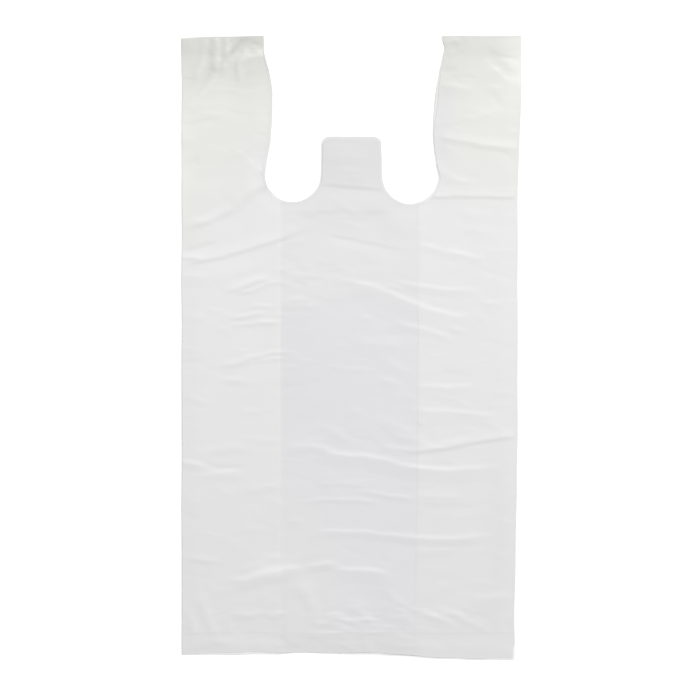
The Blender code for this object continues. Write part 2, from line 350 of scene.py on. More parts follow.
def mouthDistance(x, y, outline):  # from the mouth's edge, below zero inside it, and the nearest point there
    distance = np.full(x.shape, np.inf)
    nearest = np.zeros(x.shape + (2,))
    inside = np.zeros(x.shape, bool)
    for start, end in zip(outline, np.roll(outline, -1, axis=0)):
        run = end - start
        length = run @ run
        if length == 0.0:
            continue
        along = np.clip(((x - start[0]) * run[0] + (y - start[1]) * run[1]) / length, 0.0, 1.0)
        spot = start + along[:, None] * run
        away = np.hypot(x - spot[:, 0], y - spot[:, 1])
        closer = away < distance
        distance[closer] = away[closer]
        nearest[closer] = spot[closer]
        crosses = (start[1] > y) != (end[1] > y)
        with np.errstate(divide="ignore", invalid="ignore"):
            inside ^= crosses & (x < run[0] * (y - start[1]) / run[1] + start[0])
    return np.where(inside, -distance, distance), nearest


def mouthValue(points):  # how far each point lies outside the cut; those beside it move onto it
    outline = mouthOutline()
    reach = mouth["reach"]
    x, y = points[:, 0], points[:, 1]
    near = (np.abs(x) < outline[:, 0].max() + reach) & (y > bagTop - mouthDepth - reach)
    value = np.full(len(points), 1.0)
    nearest = np.zeros((len(points), 2))
    value[near], nearest[near] = mouthDistance(x[near], y[near], outline)
    away = np.stack([x, y], axis=1) - nearest
    away /= np.maximum(np.linalg.norm(away, axis=1), 1e-9)[:, None] * np.where(value < 0, -1.0, 1.0)[:, None]
    share = (points[:, 3] - shares["back"]) / (shares["front"] - shares["back"])
    inset = tube["mouthInset"] * share * (0.75 + 0.45 * field(x, y, 0.060, 41)) * ease((bagTop - y) / 0.034)
    flushX, flushY, reachX, reachY = mouth["flush"]
    flush = np.exp(-((x - flushX) / reachX) ** 2 - ((y - flushY) / reachY) ** 2)
    inset = inset * (1.0 - mouth["flushShare"] * flush)
    value = value - inset - mouth["rough"] * field(x, y, 0.015, 42)
    snap = (np.abs(value) < mouth["snap"] * tube["rowHeight"]) & near
    points[snap, :2] -= away[snap] * value[snap, None]
    value[snap] = 0.0
    return value, near


def cutMouth(points, faces):  # gives each point a last value, its distance to the mouth's edge
    value, near = mouthValue(points)
    made = []
    cuts = {}
    kept = []

    def crossing(first, second):  # the new point where an edge meets the cut, shared by its two faces
        key = (min(first, second), max(first, second))
        if key not in cuts:
            low, high = key
            along = value[low] / (value[low] - value[high])
            made.append(mix(points[low], points[high], along))
            cuts[key] = len(points) + len(made) - 1
        return cuts[key]

    for face in faces:
        signs = [value[corner] for corner in face]
        if min(signs) >= 0.0:
            if max(signs) > 0.0:
                kept.append(face)
            continue
        if max(signs) <= 0.0:
            continue
        polygon = []
        for index, corner in enumerate(face):
            after = face[(index + 1) % len(face)]
            if value[corner] >= 0.0:
                polygon.append(corner)
            if value[corner] * value[after] < 0.0:
                polygon.append(crossing(corner, after))
        kept.append(tuple(polygon))
    points = np.hstack([points, np.where(near, np.maximum(value, 0.0), mouth["reach"])[:, None]])
    made = np.hstack([np.array(made), np.zeros((len(made), 1))])
    return np.vstack([points, made]), kept


# Creases. Each is its rise, its reach on the lit side and on the far side, and the x and y of each of its
# points, in millimetres. A rise above zero is a ridge. The light comes from the upper right.

creases = [
    # left handle
    (0.9, 4.5, 3.5, -131, 279, -133, 262, -137, 250, -141, 240),
    (1.4, 3.4, 6, -121.5, 281, -121, 270, -120, 258, -122, 247),
    (-0.8, 7, 4, -121, 252, -126, 243, -132, 234, -141, 222),
    (1.2, 3, 2.6, -112.5, 281, -112.5, 270, -113.5, 258, -114, 246),
    (1.1, 4, 3.0, -102, 261, -101, 252, -100, 238),
    (1.5, 3.6, 3.0, -112, 259, -108.5, 267, -104, 274, -97, 282),
    (1.2, 9, 18, -103, 260, -90, 260.5, -76, 262),
    (1.1, 3, 6, -104, 282, -92, 281, -83, 280),
    (0.35, 2.6, 2.4, -97, 270, -95, 264),
    (0.4, 2.8, 2.6, -90, 272, -85, 267, -84, 263),
    (0.4, 2.4, 2.6, -91, 277, -85, 276),
    (0.4, 3, 3, -120, 260, -116, 259),
    (0.35, 3, 3, -110, 262, -107, 257),
    (0.35, 3, 3, -97, 259, -94, 256),
    (-0.35, 2.5, 6, -152, 200, -142, 202, -135, 204, -121, 205),
    (0.4, 9, 7, -153, 186, -141, 188),
    (-0.7, 5, 8, -153, 160, -144, 166, -136, 170),
    (-0.2, 2, 4, -87, 192, -73, 191),
    (-0.2, 2, 4, -80, 209, -71, 208),
    (0.25, 8, 8, -130, 178, -112, 176, -95, 181),
    (1.15, 8.5, 2.8, -100, 130.5, -108, 124.5, -118, 119, -130, 114, -144, 109),
    (1.4, 30, 4.6, -66, 152, -78, 146, -88, 141.5, -97, 135.5, -108, 127),
    # right handle
    (-0.3, 7, 4, 86, 274, 91, 269, 98, 266),
    (0.4, 3, 3, 86.5, 277, 88, 268),
    (0.25, 3, 4, 88, 267, 101, 265.5),
    (-0.4, 6, 6, 80, 249, 87, 249, 95, 250),
    (0.5, 5, 7, 78, 236, 92, 235, 107, 231),
    (0.3, 4, 5, 120, 234, 136, 233),
    (-1.1, 7, 4.4, 124, 266, 130, 256, 137, 249, 147, 243),
    (-0.35, 3, 3, 129, 262, 151, 259),
    (-0.3, 4, 5, 126, 229, 134, 217),
    (0.75, 9, 3.4, 72, 190, 90, 188, 104, 185.5, 116, 183, 131, 181, 152, 179),
    (0.45, 5, 6, 79, 163, 82, 159, 88, 153.5, 97, 150, 110, 148.5),
    (0.72, 12, 1.7, 66, 136.6, 90, 136.8, 120, 136.4, 155, 136),
    (0.25, 9, 8, 104, 215, 126, 208, 148, 206),
    (0.25, 8, 7, 100, 122, 125, 119),
    # tab
    (-0.65, 3.0, 8, -28, 145.5, -15, 144.5, 0, 143.5, 10, 142, 28, 140.5),
    (0.2, 6, 6, -24, 171, -5, 172, 20, 170),
    (0.3, 4, 4, -6, 161, 6, 158),
    # below the mouth
    (-0.6, 3, 6, -150, 86, -136, 91, -122, 95),
    (0.95, 13, 1.2, -150, 75, -140, 77, -128, 79.6, -113, 83, -100, 86.6, -86, 91, -73, 95, -60, 99.6, -44,
     106),
    (0.6, 8, 1.3, -160, 81, -146, 80.8, -134, 80.6),
    (0.45, 6, 7, -153, 64, -140, 64.5, -126, 65),
    (-0.3, 5, 7, -63, 120, -28, 119.5, 35, 121),
    (-0.3, 3, 4, -43, 117, -31, 116.5),
    (-0.45, 3, 6, -22, 101, 0, 96.5, 15, 93.5, 30, 90, 44, 87.5),
    (0.5, 5, 5, 60, 93, 72, 90.5, 84, 87, 95, 83.5, 118, 81),
    (0.25, 8, 8, 96, 107, 130, 104),
    # upper left
    (-0.4, 7, 4, -107, 60, -95, 64, -80, 70),
    (0.95, 7, 1.4, -109, 50.5, -100, 53.6, -92, 57, -84, 60.5, -76, 63),
    (0.8, 2.2, 1.4, -99, 49, -91, 51.5, -83, 54.5, -69, 60),
    (0.4, 3, 2.0, -94, 36, -84, 38.5, -71, 38),
    (0.65, 3, 2.0, -106, 26.5, -95, 29, -80, 32.5),
    (0.5, 2.6, 2.4, -106, 20, -95, 22, -84, 22),
    (0.6, 3, 2.6, -86, 24.4, -76, 23.6, -63, 23.5),
    (0.3, 3, 2.5, -63, 70.5, -51, 73.5),
    (0.6, 4.5, 9, -61, 37, -56, 42.5, -50, 44.5, -44, 43),
    (-0.35, 4, 4, -51, 60, -44, 56, -41, 49),
    (0.7, 7, 2.4, -116, -16.5, -100, -12.5, -87, -9),
    (0.6, 3.4, 1.8, -94, -8.5, -80, -6.2, -70, -3.6, -60, -3.4),
    (0.4, 2.2, 2.0, -84, -11, -72, -9.4, -60, -8.6),
    (0.4, 4.5, 4, -115, -28.5, -105, -28, -96, -26),
    (0.35, 5, 3.5, -148, -42, -136, -47, -128, -50),
    (0.3, 7, 6, -150, 30, -128, 27),
    (-0.15, 2.5, 3, -28, 73.5, -8, 73.5),
    (-0.2, 2.5, 4, -28, 69, -7, 69),
    (0.25, 4, 4, -100, -56.5, -78, -56),
    # upper right
    (0.8, 5, 12, -9, 61, 5, 58.5, 18, 56, 30, 51, 44, 45, 57, 40, 68, 35, 82, 31.5, 101, 27.5),
    (0.5, 4, 5, 39, 60, 58, 56, 75, 54, 90, 52, 108, 51.5),
    (0.3, 2.4, 2.4, 30, 57, 42, 54, 50, 51),
    (0.5, 4, 5, 41, 22.5, 55, 19.5, 68, 17, 78, 13, 89, 8),
    (0.4, 3, 3, 89, 19, 101, 14.5),
    (0.3, 4, 4, 8, 27, 15, 26),
    (0.45, 10, 10, 3, 4, 26, 4, 47, 2),
    (0.3, 4, 4, 118, 42, 130, 41),
    (0.4, 6, 8, 28, -6, 38, -15, 51, -22),
    (0.45, 4, 6, 26, -28, 36, -29, 44, -33),
    (0.3, 6, 6, 44, -39, 58, -47),
    (0.6, 5, 9, 60, -34, 72, -35, 86, -35.5, 100, -34.5, 109, -35),
    (0.6, 4.5, 9, 58, -55, 70, -56.5, 85, -56.5, 100, -57.5, 112, -59.5, 129, -61),
    (0.45, 6, 8, 28, -62, 36, -67, 44, -72, 56, -76),
    (0.3, 5, 6, -2, -54, 8, -58),
    (0.15, 2.4, 2.6, 0, -10.5, 15, -10.5),
    (0.15, 2.4, 2.6, -1, -18.5, 14, -18.5, 22, -20),
    (0.25, 9, 8, 110, -16, 138, -18),
    # middle
    (0.95, 5, 9, -51, -88, -38, -88.5, -27, -89, -21, -91.5, -15, -95, 0, -96.5, 14, -97, 22, -99.5, 34,
     -101, 42, -104, 52, -106, 62, -108, 80, -109, 98, -109.5, 113, -108, 129, -107),
    (0.9, 10, 2.2, 48, -91, 60, -92, 72, -90.5, 85, -88, 100, -85.5, 118, -82, 130, -80, 149, -78),
    (0.35, 5, 5, 42, -77, 52, -80.5, 65, -81),
    (0.45, 4, 3.4, 27, -88, 38, -89, 48, -91, 58, -93.5),
    (0.4, 6, 6, -28, -69, -16, -74, -8, -80, 1, -84),
    (0.45, 8, 5, -140, -95, -120, -91, -104, -88, -92, -89),
    (0.75, 4.5, 5, -153, -102, -143, -103, -133, -106),
    (-0.4, 4, 3, -131, -102, -124, -106.5, -112, -107, -100, -107),
    (0.5, 4, 6, -138, -115, -126, -113, -113, -111.5, -99, -111),
    (0.4, 6, 5, -92, -128, -80, -125, -64, -123),
    (0.3, 5, 4, -82, -83.5, -64, -82),
    (0.45, 2.6, 3, -44, -138.5, -36, -136.5, -28, -135, -10, -135, 5, -136, 24, -138),
    (0.25, 2.4, 2.6, -26, -122.5, -14, -120, 0, -121, 15, -123.5),
    (0.4, 2.6, 3, 6, -127, 22, -129.5, 36, -132, 58, -134.5),
    (0.45, 7, 6, 57, -132, 76, -133, 98, -133),
    (-0.25, 5, 5, 65, -143, 116, -143),
    # lower part
    (0.6, 3, 5, -30, -163.5, -10, -164, 14, -164.5, 30, -167, 45, -168.5),
    (0.8, 5, 5, 36, -168, 60, -170.5, 92, -171, 108, -170, 118, -168),
    (0.3, 4, 4, 59, -181, 92, -181),
    (0.3, 5, 5, -57, -155, -44, -154),
    (0.3, 5, 5, -101, -163, -78, -161),
    (0.55, 7, 3, -146, -188, -134, -189.5, -121, -191),
    (1.1, 6, 9, -108, -208, -98, -207.5, -88, -205.5, -80, -202.5, -72, -200, -64, -199.5, -56, -197, -43,
     -199),
    (0.9, 4.5, 5, -39, -196.5, -30, -194, -22, -192.5, -15, -194.5),
    (1.0, 4.5, 9, -15, -198.5, 0, -199, 14, -199, 22, -200, 31, -203.5),
    (0.45, 6, 4, -76, -187.5, -65, -186.5),
    (0.35, 6, 2.4, -100, -199, -90, -196, -82, -192.5),
    (0.5, 8, 5, -81, -206, -72, -204.5, -60, -203),
    (0.45, 5, 5, -38, -216, -34, -235, -30, -250),
    (0.65, 6, 5, -136, -220, -131, -234, -126, -246, -121, -260),
    (0.6, 5, 5, -148, -232, -143, -244, -139, -258),
    (0.25, 5, 5, -128, -208, -118, -219),
    (0.4, 4, 4, -109, -238.5, -99, -238, -92, -239.5),
    (0.6, 4, 3, -95, -241, -86, -238, -77, -235),
    (0.5, 4, 3.4, -75, -238.5, -62, -238),
    (0.75, 2.8, 3.4, -30, -246.8, -22, -245.5, -16, -240.5),
    (0.7, 2.8, 3.6, -23, -239.5, -15, -238, -7, -239.5),
    (0.65, 2.6, 4.0, -15, -242, -7, -243, 3, -245),
    (0.55, 2.8, 4.0, 0, -246, 6, -242.5, 14, -242, 24, -243.5),
    (0.55, 2.6, 3.4, -17, -246.5, -9, -249),
    (0.5, 2.6, 2.2, -12, -253.5, -6, -251, 0, -252.5),
    (0.3, 7, 4, 0, -233, 8, -239),
    (0.5, 3, 2.6, 13, -248, 24, -248.5),
    (0.4, 2.6, 2.6, 8, -253.5, 15, -251),
    (0.4, 3, 3, 28, -249, 37, -249.5),
    (0.32, 2.4, 5, -38, -254.6, -15, -255, 12, -255, 40, -254.4),
    (0.55, 6, 8, 32, -216, 38, -223, 49, -232),
    (0.35, 6, 6, 43, -236, 55, -247),
    (0.4, 4, 3.4, 61, -235, 69, -238, 77, -242),
    (0.4, 4, 3.4, 70, -239, 82, -243, 94, -249),
    (0.55, 5, 4, 79, -233, 92, -237.5, 103, -242.5),
    (0.45, 4, 4, 99, -243, 110, -247, 120, -252),
    (0.55, 8, 9, 106, -225, 120, -224, 145, -222.5),
    (0.25, 4, 4, 128, -185, 138, -185),
    (0.2, 6, 6, 62, -198, 88, -197),
    # below the foot weld
    (0.35, 4, 4, -113, -259, -109, -271),
    (0.35, 4, 4, -84, -259, -77, -272),
    (-0.4, 5, 5, -62, -259, -52, -271),
    (0.4, 4, 4, 10, -260, 18, -272),
    (0.3, 3.5, 3.5, -2, -261, 2, -272),
    (0.3, 3, 3, 43, -258, 56, -260),
]
domes = [  # x, y, reach across, reach along, rise
    (-39, 37, 6, 6, 0.5), (-42, -216, 15, 13, 0.7), (3, 153, 5, 4, 0.35), (-36, -229, 9, 9, 0.35),
    (14, 28, 6, 4, 0.25), (2, -232, 14, 10, 0.4), (64, -67, 6, 5, 0.25), (40, 112, 22, 14, 0.3),
]
crumpled = [  # two corners of an area, how many creases, their lean and its spread in degrees, seed
    (((-128, 264), (-79, 280)), 34, (70, 40), 71),
    (((-124, 244), (-90, 262)), 22, (80, 25), 62),
    (((82, 262), (104, 280)), 14, (70, 40), 63),
    (((-26, -256), (48, -228)), 46, (-5, 45), 64),
    (((56, -252), (120, -232)), 10, (-20, 15), 65),
    (((-120, -256), (-60, -228)), 12, (5, 30), 66),
    (((-66, 34), (-30, 74)), 14, (40, 50), 67),
    (((-90, -272), (30, -258)), 22, (90, 30), 68),
]
relief = {
    "slack": 0.55,  # mm, the film's mean lift
    "slackWander": 0.22,
    "scale": 0.80,  # of every crease
    "crest": 0.45,  # mm, roundness of a crease's line
    "litStretch": 0.88,
    "litSharpness": 1.6,
    "farSharpness": 1.15,
    "farStretch": 1.35,
    "wander": 0.55,  # mm, by which crease lines stray
    "weldHold": 0.60,  # share of the relief left at a weld
    "settle": 0.025,
    "edgeSlack": 0.45,  # share of the slack left at free edges
    "unevenSlack": 0.07,
    "lowest": 0.05,  # mm, never below the film's rest
    "ends": (0.17, 3.0),  # share of a crease over which its ends fade, and the least length in mm
    "endShare": 0.3,
    "seed": 7,
}
smallCreases = {  # all over, in mm
    "count": 480,
    "across": (-150, 150),
    "along": (-275, 278),
    "level": (0.7, 0.45),  # share of them that lie nearly level, and how far they lean, in radians
    "length": (6, 36),
    "bend": 0.12,
    "dips": 0.3,  # share of them that fall
    "rise": (0.04, 0.18),
    "lit": (1.8, 3.2),
    "far": (3, 8),
}
puckers = {  # short pleats that run off the welds, in mm
    "count": 46,  # at each weld
    "footAcross": (-150, 144),
    "topAcross": (-150, 150),
    "gap": 1.2,
    "length": (5, 16),
    "lean": 0.25,
    "rise": (0.06, 0.22),
    "reach": (2.2, 4),
}
crumple = {  # each short crease of the crumpled places, in mm
    "half": (2, 6),
    "rise": (0.10, 0.34),
    "reach": (1.8, 3.2),
}
lightWay = np.array([0.45, 0.89])


def creaseHeight(x, y, points, rise, lit, far):  # profile of one crease at places in millimetres
    best = np.full(x.shape, np.inf)
    litShare = np.ones(x.shape)
    placeAlong = np.zeros(x.shape)
    points = np.array(points, float)
    lengths = np.linalg.norm(np.diff(points, axis=0), axis=1)
    walked = 0.0
    for start, end, length in zip(points[:-1], points[1:], lengths):
        way = (end - start) / length
        across = np.array([-way[1], way[0]])
        if across @ lightWay < 0.0:
            across = -across
        offX, offY = x - start[0], y - start[1]
        along = np.clip(offX * way[0] + offY * way[1], 0.0, length)
        awayX, awayY = offX - along * way[0], offY - along * way[1]
        away = np.hypot(awayX, awayY)
        side = (awayX * across[0] + awayY * across[1]) / np.maximum(away, 1e-6)
        closer = away < best
        best[closer] = away[closer]
        litShare[closer] = 0.5 + 0.5 * side[closer]
        placeAlong[closer] = walked + along[closer]
        walked += length
    crest = relief["crest"]
    reach = mix(far * relief["farStretch"], lit * relief["litStretch"], litShare)
    sharpness = mix(relief["farSharpness"], relief["litSharpness"], litShare)
    share = (np.sqrt(best ** 2 + crest ** 2) - crest) / reach
    fading, least = relief["ends"]
    fade = np.minimum(placeAlong, walked - placeAlong) / max(fading * walked, least)
    return rise * np.clip(1.0 - share, 0.0, 1.0) ** sharpness * mix(relief["endShare"], 1.0, ease(fade))


def addCreases(total, x, y, found, scale=1.0):  # each only where it reaches
    for rise, lit, far, *line in found:
        line = np.reshape(line, (-1, 2))
        reach = max(lit, far * relief["farStretch"])
        low, high = np.min(line, axis=0) - reach, np.max(line, axis=0) + reach
        near = (x > low[0]) & (x < high[0]) & (y > low[1]) & (y < high[1])
        total[near] += creaseHeight(x[near], y[near], line, rise * scale, lit, far)


def fineCreases():  # seeded
    draw = np.random.default_rng(relief["seed"])
    levelShare, lean = smallCreases["level"]
    dips = smallCreases["dips"]
    found = []
    for index in range(smallCreases["count"]):
        middle = np.array([draw.uniform(*smallCreases["across"]), draw.uniform(*smallCreases["along"])])
        angle = draw.normal(0.0, lean) if draw.random() < levelShare else draw.uniform(0.0, math.pi)
        length = draw.uniform(*smallCreases["length"])
        bend = draw.uniform(-smallCreases["bend"], smallCreases["bend"]) * length
        way = np.array([math.cos(angle), math.sin(angle)])
        across = np.array([-way[1], way[0]])
        line = [middle - way * length / 2, middle + across * bend, middle + way * length / 2]
        rise = draw.choice([-1, 1], p=[dips, 1 - dips]) * draw.uniform(*smallCreases["rise"])
        found.append((rise, draw.uniform(*smallCreases["lit"]), draw.uniform(*smallCreases["far"]), *line))
    return found


def weldPuckers():
    draw = np.random.default_rng(relief["seed"] + 1)
    reach = puckers["reach"]
    welds = [(bagFoot + tube["footWeld"], puckers["footAcross"]),
             (bagTop - tube["handleWeld"], puckers["topAcross"])]
    found = []
    for weldAt, across in welds:
        for index in range(puckers["count"]):
            x = draw.uniform(*across)
            side = draw.choice([-1, 1])
            length = draw.uniform(*puckers["length"])
            start = np.array([x, weldAt / mm + side * puckers["gap"]])
            end = start + np.array([draw.normal(0.0, puckers["lean"]) * length, side * length])
            rise = draw.choice([-1, 1]) * draw.uniform(*puckers["rise"])
            found.append((rise, draw.uniform(*reach), draw.uniform(*reach), start, end))
    return found


def freeEdgeShare(points):  # 0 at a fold or cut edge, 1 well inside the bag
    left, right = sideEdges(points[:, 4])
    x, height = points[:, 0], points[:, 4]
    away = np.minimum(np.minimum(left + x, right - x), np.minimum(height, tube["length"] - height))
    return ease(np.minimum(np.maximum(away, 0.0), points[:, 5]) / tube["edgeReach"])


def crumples(area, count, lean, seed):  # a seeded cluster of short sharp creases
    draw = np.random.default_rng(seed)
    low, high = np.array(area[0]), np.array(area[1])
    reach = crumple["reach"]
    found = []
    for index in range(count):
        middle = low + draw.random(2) * (high - low)
        angle = math.radians(draw.normal(*lean))
        half = draw.uniform(*crumple["half"]) * np.array([math.cos(angle), math.sin(angle)])
        rise = draw.choice([-1, 1]) * draw.uniform(*crumple["rise"])
        found.append((rise, draw.uniform(*reach), draw.uniform(*reach), middle - half, middle + half))
    return found


def reliefAt(points):  # lift of the front panel above its rest, in metres
    x, y = points[:, 0] / mm, points[:, 1] / mm
    strayX = x + relief["wander"] * field(x, y, 26.0, 51)
    strayY = y + relief["wander"] * field(x, y, 31.0, 52)
    total = np.zeros(x.shape)
    addCreases(total, strayX, strayY, creases, relief["scale"])
    for domeX, domeY, reachX, reachY, rise in domes:
        away = np.hypot((strayX - domeX) / reachX, (strayY - domeY) / reachY)
        total += rise * (1.0 - ease(away))
    addCreases(total, strayX, strayY, fineCreases())
    hold = mix(relief["weldHold"], 1.0, ease(weldDistance(points[:, 4]) / relief["settle"]))
    slack = relief["slack"] + relief["slackWander"] * field(x, y, 120.0, 53)
    slack = slack + relief["unevenSlack"] * field(x, y, 45.0, 54)
    total = total + slack * mix(relief["edgeSlack"], 1.0, freeEdgeShare(points)) * hold
    addCreases(total, x, y, weldPuckers())
    for area, count, lean, seed in crumpled:
        addCreases(total, x, y, crumples(area, count, lean, seed))
    lowest = relief["lowest"]
    total = np.where(total > lowest, total, lowest * np.exp(np.minimum(total - lowest, 0.0) / lowest))
    return total * mm


# Colours of the film where its layers lie on each other, and lines of painted light and shade. Each line is
# its change of tone, its reach and its points: painted highlights and painted shade beside creases and folds,
# and broad lighter and darker patches.

paintedLightAndShade = [
    (-0.075, 3.4, -108, 261, -105, 269, -99, 276.5, -92, 279),
    (-0.045, 4.0, -98, 278, -91, 278, -83, 277),
    (0.045, 2.6, -112.5, 264, -107.5, 273, -101, 280),
    (0.045, 3.0, -98, 264, -92, 266.5),
    (-0.02, 2.6, -88, 262, -88, 268),
    (-0.045, 2.6, -87.5, 274, -84, 274),
    (0.035, 4.5, -84, 266, -78, 270),
    (0.04, 3.0, -120, 260, -116, 258),
    (-0.05, 2.6, -115, 262, -112.5, 258),
    (0.03, 3.0, -111, 260, -106, 257),
    (-0.03, 2.8, -104, 258, -104.5, 247),
    (-0.03, 5.0, -125.5, 280, -125, 262, -124, 252, -128, 243, -133, 235, -139, 226),
    (0.026, 3.0, -118, 252, -122, 242, -128, 235, -137, 225),
    (-0.03, 4.5, -125, 254, -128, 245, -132, 238),
    (-0.035, 2.8, -120, 281, -120, 274),
    (0.03, 2.6, -130, 263, -134, 252, -138, 247),
    (0.02, 2.6, 87, 276, 88.5, 268),
    (0.036, 11.0, -90, -196, -76, -195, -50, -196),
    (0.016, 9.0, -48, -214, -38, -216, -33, -226),
    (-0.016, 5.0, -50, -258, -35, -259, -20, -259),
    (0.115, 22.0, 153, 292, 151, 270, 151, 244, 150, 232),
    (0.026, 10.0, 128, 277, 152, 275.5),
    (-0.034, 5.5, 131, 248, 137, 243, 146, 239),
    (0.036, 16.0, -150, 220, -149, 190, -148, 150, -148, 112),
    (-0.036, 14.0, -56, 116, 0, 115, 40, 116),
    (0.028, 14.0, -158, 150, -112, 145),
    (0.018, 12.0, -160, 116, -110, 113),
    (0.024, 18.0, -164, 77, -84, 74),
    (-0.034, 10.0, -138, 251, -114, 249),
    (-0.02, 18.0, 132, -88, 134, -150, 132, -228),
    (0.034, 9.0, -118, -264, -90, -264, -62, -264),
    (0.028, 3.4, -144, -238, -140, -245, -137, -254),
    (0.024, 4.4, -130, -229, -126, -240, -120, -254),
    (-0.026, 3.4, -151, -249, -143, -253),
    (-0.012, 4.0, -136, -231, -131, -243),
    (-0.022, 3.0, -129, -247, -124, -254),
    (0.026, 6.0, -82, -187.5, -62, -185.5, -44, -189),
    (-0.018, 6.0, -60.5, -196, -60.5, -262),
    (0.026, 12.0, 50, -268, 154, -268),
    (0.018, 12.0, -28, -241, 0, -242, 24, -242),
    (0.018, 14.0, 60, -237, 104, -243),
    (-0.022, 14.0, 6, -217, 38, -219),
    (-0.016, 9.0, 16, -233, 28, -240, 44, -246),
]

filmFinish = {
    "side": (0.821, 0.820, 0.821),  # four layers
    "sideLow": (0.811, 0.810, 0.811),
    "middle": (0.795, 0.794, 0.796),  # two layers
    "haze": (0.783, 0.782, 0.798),  # the same where no inner layer lies near
    "hazeTop": (0.044, 0.014, 0.012),  # its place, the rise of its crown and its soft edge
    "slant": 0.009,  # lighter to the right in the hazy part
    "glow": 0.010,
    "tab": (0.728, 0.728, 0.729),
    "footLeft": (0.805, 0.804, 0.808),
    "foot": (0.800, 0.799, 0.815),
    "skirt": 0.986,  # below the foot weld
    "skirtMiddle": 0.969,
    # painted shade, darker to the right, evening out the key lamp's light across the bag
    "rightPaintedShade": 0.992,
    "foldLineShade": 0.978,  # the right gusset's fold seen through the front, with painted shade where the front's step over it faces away from the light
    "foldLineWidth": 0.0006,
    "foldLineShares": (0.2, 0.3),  # of it above and below
    "innerHandle": (0.980, 0.967),  # near the mouth, left and right
    "leftTop": (0.682, 0.689, 0.650),
    "rightTop": (0.721, 0.728, 0.691),
    "handleTint": (0.800, 0.804, 0.767),
    "handleLow": (0.799, 0.798, 0.799),
    "tintFrom": (0.110, 0.040, 0.090),  # its lowest place, the fall of that at the left edge, and its length
    "handleTopReach": 0.070,
    "header": 0.977,  # above the handle welds
    "headerLitPatch": 1.045,  # painted light on a crumpled patch that faces the light, at the left one
    "patchPlace": (-0.089, 0.2665, 0.011, 0.0055),
    "skirtPlace": (-0.012, 0.055),  # middle and reach of the skirt's middle
    "layerEdge": 0.0012,  # softness of the tone's edge at a fold, and at a weld:
    "weldEdge": 0.003,
    "weld": 0.962,  # the melted lines
    "rimPaintedLight": (0.995, 1.05, 1.13, 1.19),  # painted light on the back layers past the front's edges, against the shadow that the front casts on them: lit side, mouth, left side, foot
    "rimPlaces": (-0.120, -0.070, 0.100, 0.010),  # left side up to here, mouth between these, foot below
    "footEdgeLight": 1.06,  # painted light on the front panel's last row, against the contact shadow at its foot edge
    "footEdgeHeight": 0.0006,
    "mottle": 0.008,
    "roughness": (0.32, 0.42),
    "crinkleDepth": 0.00006,
    "crinkleLength": 0.006,
    "bumpDistance": 0.0003,
    "bumpStrength": 0.10,
    "dieLine": 0.003,  # strength of the faint lines that the die leaves along the film
    "dieStretch": (900.0, 6.0, 900.0),
}
zones = {  # in metres: where a tone starts to change and over what length, below zero if it falls
    "crown": (0.004, 0.026),  # this one and the glow are bumps: middle and reach
    "glow": (-0.107, 0.038),
    "hazeFoot": (-0.235, 0.040),
    "slantTop": (0.060, -0.030),
    "slantFoot": (-0.085, 0.040),
    "slantAcross": (0.002, 0.055),
    "footAcross": (-0.050, 0.060),
    "foot": (-0.090, -0.120),
    "tab": (0.100, 0.078),
    "sideLow": (-0.080, -0.090),
    "handleLow": (0.100, 0.060),
    "outerHandle": (0.078, 0.030),
    "leftHandle": (0.165, 0.035),
    "rightHandle": (0.215, 0.035),
    "tintCorner": (-0.118, -0.022),
    "nearMouth": (0.125, -0.045),
    "aboveNotches": (0.165, 0.025),
    "foldLineTop": (0.050, -0.010),
    "foldLineFoot": (-0.215, 0.030),
    # where the painted shade on the right side begins
    "rightPaintedShade": (-0.020, 0.120),
}


def ramp(place, zone):  # from 0 to 1 through a zone
    start, length = zones[zone]
    return ease((place - start) / length)


def bump(place, zone):
    middle, reach = zones[zone]
    return np.exp(-((place - middle) / reach) ** 2)


def blend(colour, other, share):
    return mix(colour, other, share[:, None])


def toned(colour, factor, share):
    return colour * mix(1.0, factor, share)[:, None]


def middleColour(x, y, skirtShare, finish):  # two layers
    hazeTop, crown, hazeEdge = finish["hazeTop"]
    hazy = ease((hazeTop + crown * bump(x, "crown") - y) / hazeEdge) * ramp(y, "hazeFoot")
    middle = blend(finish["middle"], finish["haze"], hazy)
    start, length = zones["slantAcross"]
    slant = np.clip((x - start) / length, -1.0, 1.0) * ramp(y, "slantTop") * ramp(y, "slantFoot")
    middle = middle * (1.0 + finish["slant"] * slant + finish["glow"] * bump(y, "glow"))[:, None]
    foot = blend(finish["footLeft"], finish["foot"], ramp(x, "footAcross"))
    middle = blend(middle, foot, ramp(y, "foot"))
    middle = blend(middle, middle.mean(axis=1)[:, None], skirtShare)
    return blend(middle, finish["tab"], ramp(y, "tab"))


def sideColour(x, y, finish):  # four layers
    side = blend(finish["side"], finish["sideLow"], ramp(y, "sideLow"))
    side = blend(side, finish["handleLow"], ramp(y, "handleLow"))
    handle = np.where(x > 0, ramp(y, "rightHandle"), ramp(y, "leftHandle"))
    lowest, fall, length = finish["tintFrom"]
    tint = ease((y - (lowest - fall * ramp(x, "tintCorner"))) / length)
    side = blend(side, finish["handleTint"], tint * np.maximum(ramp(np.abs(x), "outerHandle"), handle))
    handleTop = blend(finish["leftTop"], finish["rightTop"], ease(0.5 + x / halfWidth))
    side = blend(side, handleTop, ease(1.0 - (bagTop - y) / finish["handleTopReach"]))
    inner = np.where(x > 0, finish["innerHandle"][1], finish["innerHandle"][0])
    return toned(side, inner, ramp(np.abs(x), "nearMouth") * ramp(y, "aboveNotches"))


